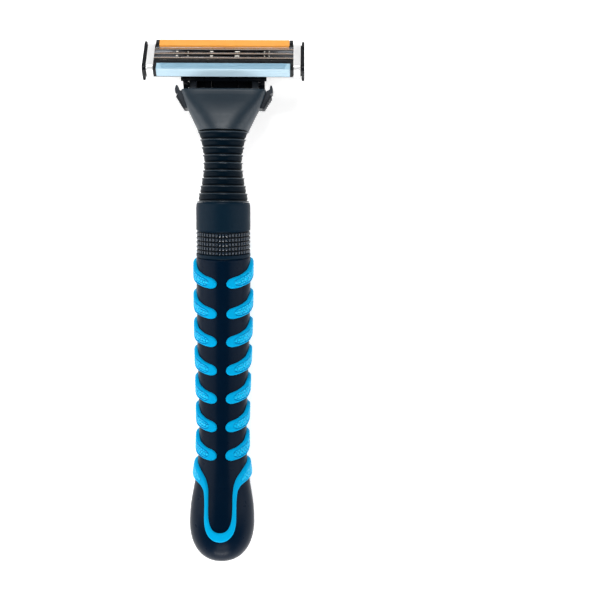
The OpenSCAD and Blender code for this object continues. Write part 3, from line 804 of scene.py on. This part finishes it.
def build_cover():
    edge = COVER_EDGE
    arc = np.linspace(0, math.pi / 2, 7)
    stations = [HEAD_STATION + 0.02] + list(np.linspace(HEAD_STATION + 0.14, HEAD_FRONT_STATION - edge, 64))
    insets = [0.12] + [0.0] * (len(stations) - 1)
    stations += list(HEAD_FRONT_STATION - edge + edge * np.sin(arc[1:]))
    insets += list(edge * (1 - np.cos(arc[1:])))
    rows = []
    for s, inset in zip(stations, insets):
        section = cover_section(s, inset, SPLIT_Z + 0.04)
        y = np.full(len(section), float(place_y(s)))
        rows.append(np.stack([section[:, 0], y, section[:, 1]], axis=-1))
    build = Build()
    build.grid(np.stack(rows), caps=True)
    first = len(rows[0])
    bottom = [i * first for i in range(len(rows))]
    right = [i * first + first - 1 for i in reversed(range(len(rows)))]
    build.faces.append(tuple(bottom + right))
    build.marks.append(0)
    cover = build.piece("cover_shell", "handle", [head_look], "head_plastic", ["head_cover"], crease=32)
    cutter = Build()
    for side in (-1, 1):
        turn = np.linspace(0, 2 * math.pi, 64, endpoint=False)
        rows = []
        for x in (NOTCH_X - 1.8, NOTCH_X + 3):
            rows.append(np.stack([np.full(64, side * x), PIVOT_Y + NOTCH_RADIUS * np.cos(turn),
                                  PIVOT_Z + NOTCH_RADIUS * np.sin(turn)], axis=-1))
        cutter.grid(np.stack(rows), closed=True, caps=True)
    carve(cover, cutter)


def carve(piece, cutter):
    """Cuts a builder's solids out of a piece."""
    mesh = bpy.data.meshes.new("cutter")
    mesh.from_pydata([tuple(c * MM for c in p) for p in cutter.points], [], cutter.faces)
    tidy = bmesh.new()
    tidy.from_mesh(mesh)
    bmesh.ops.recalc_face_normals(tidy, faces=tidy.faces)
    tidy.to_mesh(mesh)
    tidy.free()
    tool = bpy.data.objects.new("cutter", mesh)
    bpy.context.scene.collection.objects.link(tool)
    cut = piece.modifiers.new("cut", "BOOLEAN")
    cut.operation = "DIFFERENCE"
    cut.solver = "EXACT"
    cut.object = tool
    made = bpy.data.meshes.new_from_object(piece.evaluated_get(bpy.context.evaluated_depsgraph_get()))
    piece.modifiers.clear()
    piece.data = made
    bpy.data.objects.remove(tool)


def soften(node, look, width=0.08, segments=2):
    """Keeps a CAD node with its own finish, and rounds its edges when a width is given."""
    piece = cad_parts[node]
    for place in piece.material_slots:
        place.material = look
    if not piece.material_slots:
        piece.data.materials.append(look)
    if width:
        weld = piece.modifiers.new("weld", "WELD")
        weld.merge_threshold = 0.002 * MM
        bevel = piece.modifiers.new("edges", "BEVEL")
        bevel.width = width * MM
        bevel.segments = segments
        bevel.limit_method = "ANGLE"
        bevel.angle_limit = math.radians(40)
        bevel.use_clamp_overlap = True


# ---- release buttons: ribbed pads on the flanks of the head
PAD_HEEL = np.array([9.9, PIVOT_Y - 6.5])
PAD_TOE = np.array([11.95, PIVOT_Y - 2.8])
PAD_TEETH = 6


def pad_outline():
    run = (PAD_TOE - PAD_HEEL) * 0.97
    out = np.array([run[1], -run[0]]) / np.linalg.norm(run)
    count = 120
    t = np.linspace(0, 1, count)
    ends = np.clip(np.minimum(t, 1 - t) / 0.10, 0, 1)
    wave = np.abs(np.sin(t * PAD_TEETH * math.pi)) ** 0.7
    rise = (0.30 + 0.20 * t + 0.24 * wave) * np.sqrt(1 - (1 - ends) ** 2)
    outer = PAD_HEEL + run * t[:, None] + out * rise[:, None]
    inner = PAD_HEEL + run * t[::-1][:, None]
    return np.concatenate([outer, inner])


def build_pads():
    outline = pad_outline()
    middle = outline.mean(axis=0)
    for side, name in ((-1, "left"), (1, "right")):
        rows = []
        for z, inset in ((-2.2, 0.16), (-2.12, 0.05), (-2.0, 0.0), (1.9, 0.0), (2.02, 0.05), (2.1, 0.16)):
            ring = drawn_in(outline, middle, inset)
            height = np.full(len(ring), PIVOT_Z + z)
            rows.append(np.stack([side * ring[:, 0], ring[:, 1], height], axis=-1))
        build = Build()
        build.grid(np.stack(rows), closed=True, caps=True)
        build.piece("ribbed_pad_" + name, "release_" + name, [pad_look], "button_elastomer",
                    ["release_pad_" + name], crease=45)
        build_pad_root(side, name)


# The root that joins each pad to its horn, as X, and Y from the pivot.
PAD_ROOT = [(11.0, -2.6), (12.3, -2.6), (12.55, -1.75), (12.6, -1.2), (12.38, -0.7), (11.98, -0.7),
            (11.78, -1.0), (11.78, -1.62), (11.0, -1.7)]


PAD_ROOT_MIDDLE = (12.1, -1.8)
PAD_ROOT_HALF = 0.8


def build_pad_root(side, name):
    outline = np.array(PAD_ROOT)
    flat = PAD_ROOT_HALF - 0.08
    rows = []
    for z, inset in ((-PAD_ROOT_HALF, 0.07), (-flat, 0.0), (flat, 0.0), (PAD_ROOT_HALF, 0.07)):
        ring = drawn_in(outline, PAD_ROOT_MIDDLE, inset)
        rows.append([(side * x, PIVOT_Y + y, PIVOT_Z + z) for x, y in ring])
    build = Build()
    build.grid(np.array(rows), closed=True, caps=True)
    build.piece("pad_root_" + name, "release_" + name, [button_look], "button_plastic", crease=30)


# ---- cartridge
HALF_DEPTH = 5.75
GUARD_BACK = -3.25
GUARD_DEPTH = 2.4
GUARD_HALF = 17.05
STRIP_FRONT = 3.3
STRIP_BACK = 5.62
STRIP_HALF = 16.85
STRIP_LOW = -1.2
STRIP_TOP = 0.1
CLIP_INNER = 17.9
CLIP_WIDTH = 1.85
CLIP_THICK = 0.25
CLIP_FRONT = -4.95
CLIP_BACK = 4.9
CLIP_LOW = -4.1
BLADE_FIRST = -1.2
BLADE_PITCH = 1.64
BLADE_TOP = -0.32
BLADE_SLOPE = math.radians(20)
BLADE_RUN = 1.15
BLADE_THICK = 0.12
BLADE_HALF = 17.85
SUPPORT_HALF = 19.2
SUPPORT_FOOT = -2.03


def build_strip():
    """The lubricating strip, with a flat face and rounded edges."""
    arc = np.linspace(0, math.pi / 2, 7)
    r = 0.26
    back = [(STRIP_BACK - r + r * math.sin(a), STRIP_TOP - r + r * math.cos(a)) for a in arc]
    front = [(STRIP_FRONT + r - r * math.sin(a), STRIP_TOP - r + r * math.cos(a)) for a in arc[::-1]]
    face = [(STRIP_FRONT + r + (STRIP_BACK - STRIP_FRONT - 2 * r) * t, STRIP_TOP) for t in
            (0.2, 0.4, 0.6, 0.8)]
    outline = np.array([(STRIP_FRONT, STRIP_LOW)] + front + face + back + [(STRIP_BACK, STRIP_LOW)])
    stations = [(0, 0.20), (0.05, 0.10), (0.13, 0.03), (0.25, 0)]
    rows = []
    middle = np.array([(STRIP_FRONT + STRIP_BACK) / 2, -0.5])
    for x, inset in stations:
        rows.append((-STRIP_HALF + x, inset))
    for x in np.linspace(-STRIP_HALF + 0.6, STRIP_HALF - 0.6, 60):
        rows.append((x, 0.0))
    for x, inset in reversed(stations):
        rows.append((STRIP_HALF - x, inset))
    points = []
    for x, inset in rows:
        ring = drawn_in(outline, middle, inset)
        points.append(on_cartridge(np.full(len(ring), x), ring[:, 0], ring[:, 1]))
    build = Build()
    build.grid(np.stack(points), closed=True, caps=True)
    build.piece("orange_strip", "cartridge", [strip_look], "strip_polymer", ["lubricating_strip"], crease=50)


def guard_profile(into):
    """The guard's section, with fins on top and fine lines down its front.

    Into is the distance from the guard's end, where a slanted ramp closes the fins.
    """
    v = np.linspace(GUARD_BACK, -HALF_DEPTH + 0.42, 66)
    slant = 0.35 * (v - GUARD_BACK) / (HALF_DEPTH + GUARD_BACK)
    ramp = 1 - smoothstep((into - 0.30 + slant) / 0.30)
    wave = np.cos((v - GUARD_BACK) / 0.52 * 2 * math.pi)
    fins = -0.30 + 0.24 * np.clip(wave * 1.4, -1, 1)
    top = fins * (1 - ramp) + ramp * (-0.10 - 0.22 * (v - GUARD_BACK) / (HALF_DEPTH + GUARD_BACK))
    top = np.minimum(top, -0.04)
    arc = np.linspace(0, math.pi / 2, 7)[1:]
    r = 0.34
    w0 = -0.10
    bend = [(-HALF_DEPTH + 0.08 + r - r * math.sin(a), w0 - r + r * math.cos(a)) for a in arc]
    w = np.linspace(w0 - r - 0.04, -GUARD_DEPTH, 46)
    lines = 0.10 * np.clip(np.cos((w + 0.62) / 0.56 * 2 * math.pi) * 1.6 - 0.9, 0, 1)
    front = [(-HALF_DEPTH + 0.08 + f, x) for f, x in zip(lines, w)]
    outline = list(zip(v, top)) + bend + front + [(GUARD_BACK, -GUARD_DEPTH)]
    return np.array(outline)


def build_guard():
    ramp_run = 1.9
    xs = np.concatenate([[-GUARD_HALF, -GUARD_HALF + 0.08], np.linspace(-GUARD_HALF + 0.2, -14.6, 12),
                         np.linspace(-14, 14, 29), np.linspace(14.6, GUARD_HALF - 0.2, 12),
                         [GUARD_HALF - 0.08, GUARD_HALF]])
    rows = []
    for x in xs:
        ring = guard_profile((GUARD_HALF - abs(x)) / ramp_run)
        if abs(x) > GUARD_HALF - 0.05:
            ring = drawn_in(ring, (-4.5, -1.2), 0.09)
        rows.append(on_cartridge(np.full(len(ring), x), ring[:, 0], ring[:, 1]))
    build = Build()
    build.grid(np.stack(rows), closed=True, caps=True)
    columns = len(ring)
    for k in range(len(build.faces) - 2):
        if k % columns >= 66:
            build.marks[k] = 1
    build.piece("finned_guard", "cartridge", [guard_look, guard_face_look], "guard_elastomer", ["guard"],
                crease=40)


def clip_path(inset, count=12):
    """The clip's rounded outline, from under the back edge round to under the front edge."""
    r = 1.3 - inset
    low, high = CLIP_LOW + inset, -inset
    back, front = CLIP_BACK - inset, CLIP_FRONT + inset
    arc = np.linspace(0, math.pi / 2, count)
    points = [(2.4, low)]
    points += [(back - r + r * math.sin(a), low + r - r * math.cos(a)) for a in arc]
    points += [(back - r + r * math.cos(a), high - r + r * math.sin(a)) for a in arc]
    points += [(v, high) for v in np.linspace(back - r, front + r, 9)[1:-1]]
    points += [(front + r - r * math.sin(a), high - r + r * math.cos(a)) for a in arc]
    points += [(front + r - r * math.cos(a), low + r - r * math.sin(a)) for a in arc]
    points += [(-2.4, low)]
    return np.array(points)


def build_clips():
    outer, inner = clip_path(0.0), clip_path(CLIP_THICK)
    for side, name in ((-1, "left"), (1, "right")):
        rows = []
        mid = (outer + inner) / 2
        w = CLIP_WIDTH
        over = [(0.0, 0.72), (0.06, 0.25), (0.14, 0.0), (0.5, 0.0), (1.2, 0.0), (w - 0.14, 0.0),
                (w - 0.06, 0.25), (w, 0.72)]
        under = [(w, 0.72), (w - 0.1, 0.1), (0.1, 0.1), (0.0, 0.72)]
        for path, across, t in [(outer, *o) for o in over] + [(inner, *u) for u in under]:
            x = side * (CLIP_INNER + across)
            edge = path * (1 - t) + mid * t
            rows.append(on_cartridge(np.full(len(edge), x), edge[:, 0], edge[:, 1]))
        points = np.stack(rows, axis=1)
        build = Build()
        build.grid(points, closed=True, caps=True)
        build.piece("clip_band_" + name, "cartridge", [clip_look], "clip_aluminium", ["end_clip_" + name],
                    crease=50)


def blade_points(number, x, along, off):
    """A point on a blade: along runs from the edge up its slope, off is square to it."""
    v = BLADE_FIRST + (number - 1) * BLADE_PITCH
    across = v + along * math.cos(BLADE_SLOPE) + off * math.sin(BLADE_SLOPE)
    out = BLADE_TOP - along * math.sin(BLADE_SLOPE) + off * math.cos(BLADE_SLOPE)
    return on_cartridge(x, across, out)


WELDS = 11
WELD_PITCH = 3.06


def build_blades():
    for number in (1, 2, 3):
        section = np.array([(0.0, 0.0), (0.02, 0.03), (0.26, BLADE_THICK), (1.1, BLADE_THICK),
                            (BLADE_RUN, BLADE_THICK - 0.03), (BLADE_RUN, 0.0)])
        xs = np.concatenate([[-BLADE_HALF], np.linspace(-BLADE_HALF + 0.05, BLADE_HALF - 0.05, 40),
                             [BLADE_HALF]])
        rows = [blade_points(number, np.full(len(section), x), section[:, 0], section[:, 1]) for x in xs]
        build = Build()
        build.grid(np.stack(rows), closed=True, caps=True)
        columns = len(section)
        # The first two faces of each section, the ground edge, take the lighter tan steel: painted highlight
        # and painted reflection of the strip.
        for k in range(len(build.faces) - 2):
            if k % columns in (0, 1):
                build.marks[k] = 1
        for k in range(WELDS):
            weld_dot(build, number, (k - (WELDS - 1) / 2) * WELD_PITCH)
        build.piece(f"blade_strip_{number}", f"blade_unit_{number}", [blade_look, edge_reflection_look, support_look],
                    "blade_steel", [f"blade_{number}"], crease=20)


def weld_dot(build, number, x):
    """A spot weld: a shallow ring with a dimple."""
    turn = np.linspace(0, 2 * math.pi, 16, endpoint=False)
    rows = []
    for r, rise in ((0.17, 0.0), (0.15, 0.018), (0.11, 0.02), (0.07, 0.004), (0.01, 0.001)):
        rows.append(blade_points(number, x + r * np.cos(turn), 0.74 + r * np.sin(turn), BLADE_THICK + rise))
    build.grid(np.stack(rows), closed=True, mark=2)


# Silver tabs behind the first two supports, as X and width, placed where glints show between the blades;
# their light, partly matt steel paints those glints. The third has a rear lip instead.
TAB_PLACES = (-12.1, -9.3, -3.2, 3.4, 10.45, 11.6)
TAB_WIDTHS = (0.55, 0.22, 0.8, 1.2, 0.24, 0.24)


def build_supports():
    for number in (1, 2, 3):
        leg_v = BLADE_RUN * math.cos(BLADE_SLOPE) + 0.02
        leg_top = -BLADE_RUN * math.sin(BLADE_SLOPE)
        section = np.array([(0.35 * math.cos(BLADE_SLOPE), -0.35 * math.sin(BLADE_SLOPE)),
                            (leg_v - 0.10, leg_top + 0.03), (leg_v - 0.03, leg_top - 0.01),
                            (leg_v, leg_top - 0.10), (leg_v, SUPPORT_FOOT), (leg_v - 0.25, SUPPORT_FOOT),
                            (leg_v - 0.25, leg_top - 0.30), (leg_v - 0.34, leg_top - 0.24),
                            (0.3, -0.36)])
        place = BLADE_FIRST + (number - 1) * BLADE_PITCH
        build = Build()
        build.prism(section + np.array([place, BLADE_TOP - 0.02]), -SUPPORT_HALF, SUPPORT_HALF,
                    on_cartridge, bevel=0.03)
        if number == 3:
            near, far = place + 0.98, place + 1.2
            lip = np.array([(near, -0.72), (far, -0.60), (far, -1.1), (near, -1.1)])
            build.prism(lip, -BLADE_HALF, BLADE_HALF, on_cartridge, bevel=0.03)
        # Tabs take the light glint steel: painted glints between the blades.
        for x, width in zip(TAB_PLACES, TAB_WIDTHS if number < 3 else ()):
            low = place + 1.13
            tab = np.array([(low, -0.66), (low + 0.30, -0.56), (low + 0.30, -1.1), (low, -1.1)])
            build.prism(tab, x - width / 2, x + width / 2, on_cartridge, mark=1, bevel=0.03)
        build.piece(f"bent_support_{number}", f"blade_unit_{number}", [support_look, glint_tab_look],
                    "support_steel", [f"blade_support_{number}"], crease=25)


LUG_INNER = 17.0
CLIP_GAP = 0.08
FLANGE_INNER = 20.06
FLANGE_OUTER = 20.68
# Rounded lobes on the rims of the end flanges, as across, out and radius.
FLANGE_LOBES = ((4.75, -0.42, 0.42), (-5.0, -3.9, 0.36), (-5.02, -0.85, 0.3))
RAIL_HALF = 16.2


def build_frame_details():
    """Small moulded features of the cartridge frame: lugs, cheeks, flange lobes and a rail."""
    build = Build()
    for side in (-1, 1):
        ends = sorted((side * LUG_INNER, side * (CLIP_INNER - CLIP_GAP)))
        lug = rounded_outline(3.7, HALF_DEPTH - 0.4, -1.3, 0.02, 0.6)
        build.prism(lug, ends[0], ends[1], on_cartridge, bevel=0.16)
        ends = sorted((side * (GUARD_HALF + 0.1), side * (CLIP_INNER - CLIP_GAP)))
        cheek = rounded_outline(-HALF_DEPTH + 0.2, GUARD_BACK + 0.4, -2.2, -0.12, 0.4)
        build.prism(cheek, ends[0], ends[1], on_cartridge, bevel=0.14)
        ends = sorted((side * FLANGE_INNER, side * FLANGE_OUTER))
        for v, w, r in FLANGE_LOBES:
            turn = np.linspace(0, 2 * math.pi, 24, endpoint=False)
            lobe = np.stack([v + r * np.cos(turn), w + r * np.sin(turn)], axis=-1)
            build.prism(lobe, ends[0], ends[1], on_cartridge, bevel=0.08)
    rail = rounded_outline(GUARD_BACK + 0.2, GUARD_BACK + 1.4, -0.6, -0.02, 0.1)
    build.prism(rail, -RAIL_HALF, RAIL_HALF, on_cartridge, bevel=0.1)
    build.piece("frame_details", "cartridge", [inner_look], "cartridge_plastic", crease=40)


def rounded_outline(v0, v1, w0, w1, r):
    """A rectangle with rounded upper corners."""
    arc = np.linspace(0, math.pi / 2, 7)
    points = [(v0, w0)]
    points += [(v0 + r - r * math.cos(a), w1 - r + r * math.sin(a)) for a in arc]
    points += [(v1 - r + r * math.sin(a), w1 - r + r * math.cos(a)) for a in arc]
    points += [(v1, w0)]
    return np.array(points)


# The shelf ends clear of the plunger inside and of the pivot rings outside.
SHELF_INNER = 3.54
SHELF_OUTER = 9.34
SHELF_EDGE = 0.08
# Its outline, as Y and Z from the pivot.
SHELF_OUTLINE = [(-1.3, -2.4), (-1.3, -1.3), (1.45, -1.3), (1.6, -1.45), (1.6, -2.25), (1.45, -2.4)]


def build_head_shelf():
    """A dark shelf under the front of the head, one block on each side of the plunger."""
    for side, name in ((-1, "left"), (1, "right")):
        rows = []
        for x, inset in ((SHELF_INNER, SHELF_EDGE), (SHELF_INNER + SHELF_EDGE, 0.0),
                         (SHELF_OUTER - SHELF_EDGE, 0.0), (SHELF_OUTER, SHELF_EDGE)):
            rows.append([(side * x, PIVOT_Y + y * (1 - inset), PIVOT_Z + z) for y, z in SHELF_OUTLINE])
        build = Build()
        build.grid(np.array(rows), closed=True, caps=True)
        build.piece("head_shelf_" + name, "handle", [inner_look], "core_plastic", crease=30)


build_cover()
build_head_shelf()
build_pads()
build_strip()
build_guard()
build_clips()
build_blades()
build_supports()
build_frame_details()
soften("head_base", inner_look, 0.10)
soften("neck_core", inner_look, 0)
soften("plunger", inner_look, 0.06)
for side in ("left", "right"):
    soften("release_arm_" + side, button_look, 0.14, 3)
soften("cartridge_frame", inner_look, 0.10, 2)
soften("cartridge_bracket", inner_look, 0.08)
for spring in ("plunger_spring", "release_spring_left", "release_spring_right"):
    soften(spring, spring_look, 0)
for number in (1, 2, 3):
    soften(f"blade_springs_{number}", inner_look, 0)


# ---- room: floor, soft lights and the camera over the razor
FLOOR_Z = -0.05
FLOOR_REACH = 3000
CAMERA_X = 19.9
CAMERA_HEIGHT = 290
LENS = 65.08
SENSOR = 36
CAMERA_ROLL = 0.3
SKY_LOW = 0.42
SKY_HIGH = 0.10


def build_floor():
    mesh = bpy.data.meshes.new("floor")
    reach = FLOOR_REACH
    ring = [(-reach, -reach), (reach, -reach), (reach, reach), (-reach, reach)]
    mesh.from_pydata([(x * MM, y * MM, FLOOR_Z * MM) for x, y in ring], [], [(0, 1, 2, 3)])
    floor = bpy.data.objects.new("floor", mesh)
    bpy.context.scene.collection.objects.link(floor)
    material = new_material("floor_paper", (0.93, 0.93, 0.93), 0.9)
    shader = material.node_tree.nodes["Principled BSDF"]
    shader.inputs["Specular IOR Level"].default_value = 0.05
    shader.inputs["Emission Color"].default_value = (1, 1, 1, 1)
    shader.inputs["Emission Strength"].default_value = 0.5
    mottle(material, (0.925, 0.925, 0.925), (0.935, 0.935, 0.935), 20)
    mesh.materials.append(material)


def soft_light(name, place, target, width, height, power):
    data = bpy.data.lights.new(name, "AREA")
    data.shape = "RECTANGLE"
    data.size = width * MM
    data.size_y = height * MM
    data.energy = power
    light = bpy.data.objects.new(name, data)
    light.location = [c * MM for c in place]
    aim = np.array(target, float) - np.array(place, float)
    light.rotation_euler = Vector(aim).to_track_quat("-Z", "Y").to_euler()
    bpy.context.scene.collection.objects.link(light)


def build_lights():
    soft_light("left_soft_box", (-430, 20, 240), (0, 0, 5), 260, 620, 1.7)
    soft_light("right_soft_box", (470, 0, 260), (0, 0, 5), 200, 620, 1.2)
    soft_light("head_soft_box", (-20, 325, 420), (0, 45, 14), 230, 110, 1.3)
    soft_light("butt_soft_box", (30, -460, 260), (0, -40, 8), 300, 160, 1.0)
    soft_light("low_soft_box", (0, -430, 60), (0, -60, 8), 240, 50, 0.8)
    world = bpy.data.worlds.new("studio")
    world.use_nodes = True
    nodes, links = world.node_tree.nodes, world.node_tree.links
    sky = nodes["Background"]
    sky.inputs["Color"].default_value = (1, 1, 1, 1)
    place = nodes.new("ShaderNodeTexCoord")
    split = nodes.new("ShaderNodeSeparateXYZ")
    fade = nodes.new("ShaderNodeMapRange")
    fade.inputs["From Min"].default_value = 0.15
    fade.inputs["From Max"].default_value = 0.85
    fade.inputs["To Min"].default_value = SKY_LOW
    fade.inputs["To Max"].default_value = SKY_HIGH
    links.new(place.outputs["Generated"], split.inputs["Vector"])
    links.new(split.outputs["Z"], fade.inputs["Value"])
    links.new(fade.outputs["Result"], sky.inputs["Strength"])
    bpy.context.scene.world = world


def build_camera():
    data = bpy.data.cameras.new("camera")
    data.lens = LENS
    data.sensor_width = SENSOR
    data.clip_start = 0.01
    data.clip_end = 10
    camera = bpy.data.objects.new("camera", data)
    camera.location = (CAMERA_X * MM, 0, CAMERA_HEIGHT * MM)
    camera.rotation_euler = (0, 0, math.radians(CAMERA_ROLL))
    bpy.context.scene.collection.objects.link(camera)
    bpy.context.scene.camera = camera


build_floor()
build_lights()
build_camera()
bpy.context.scene.view_settings.view_transform = "Standard"
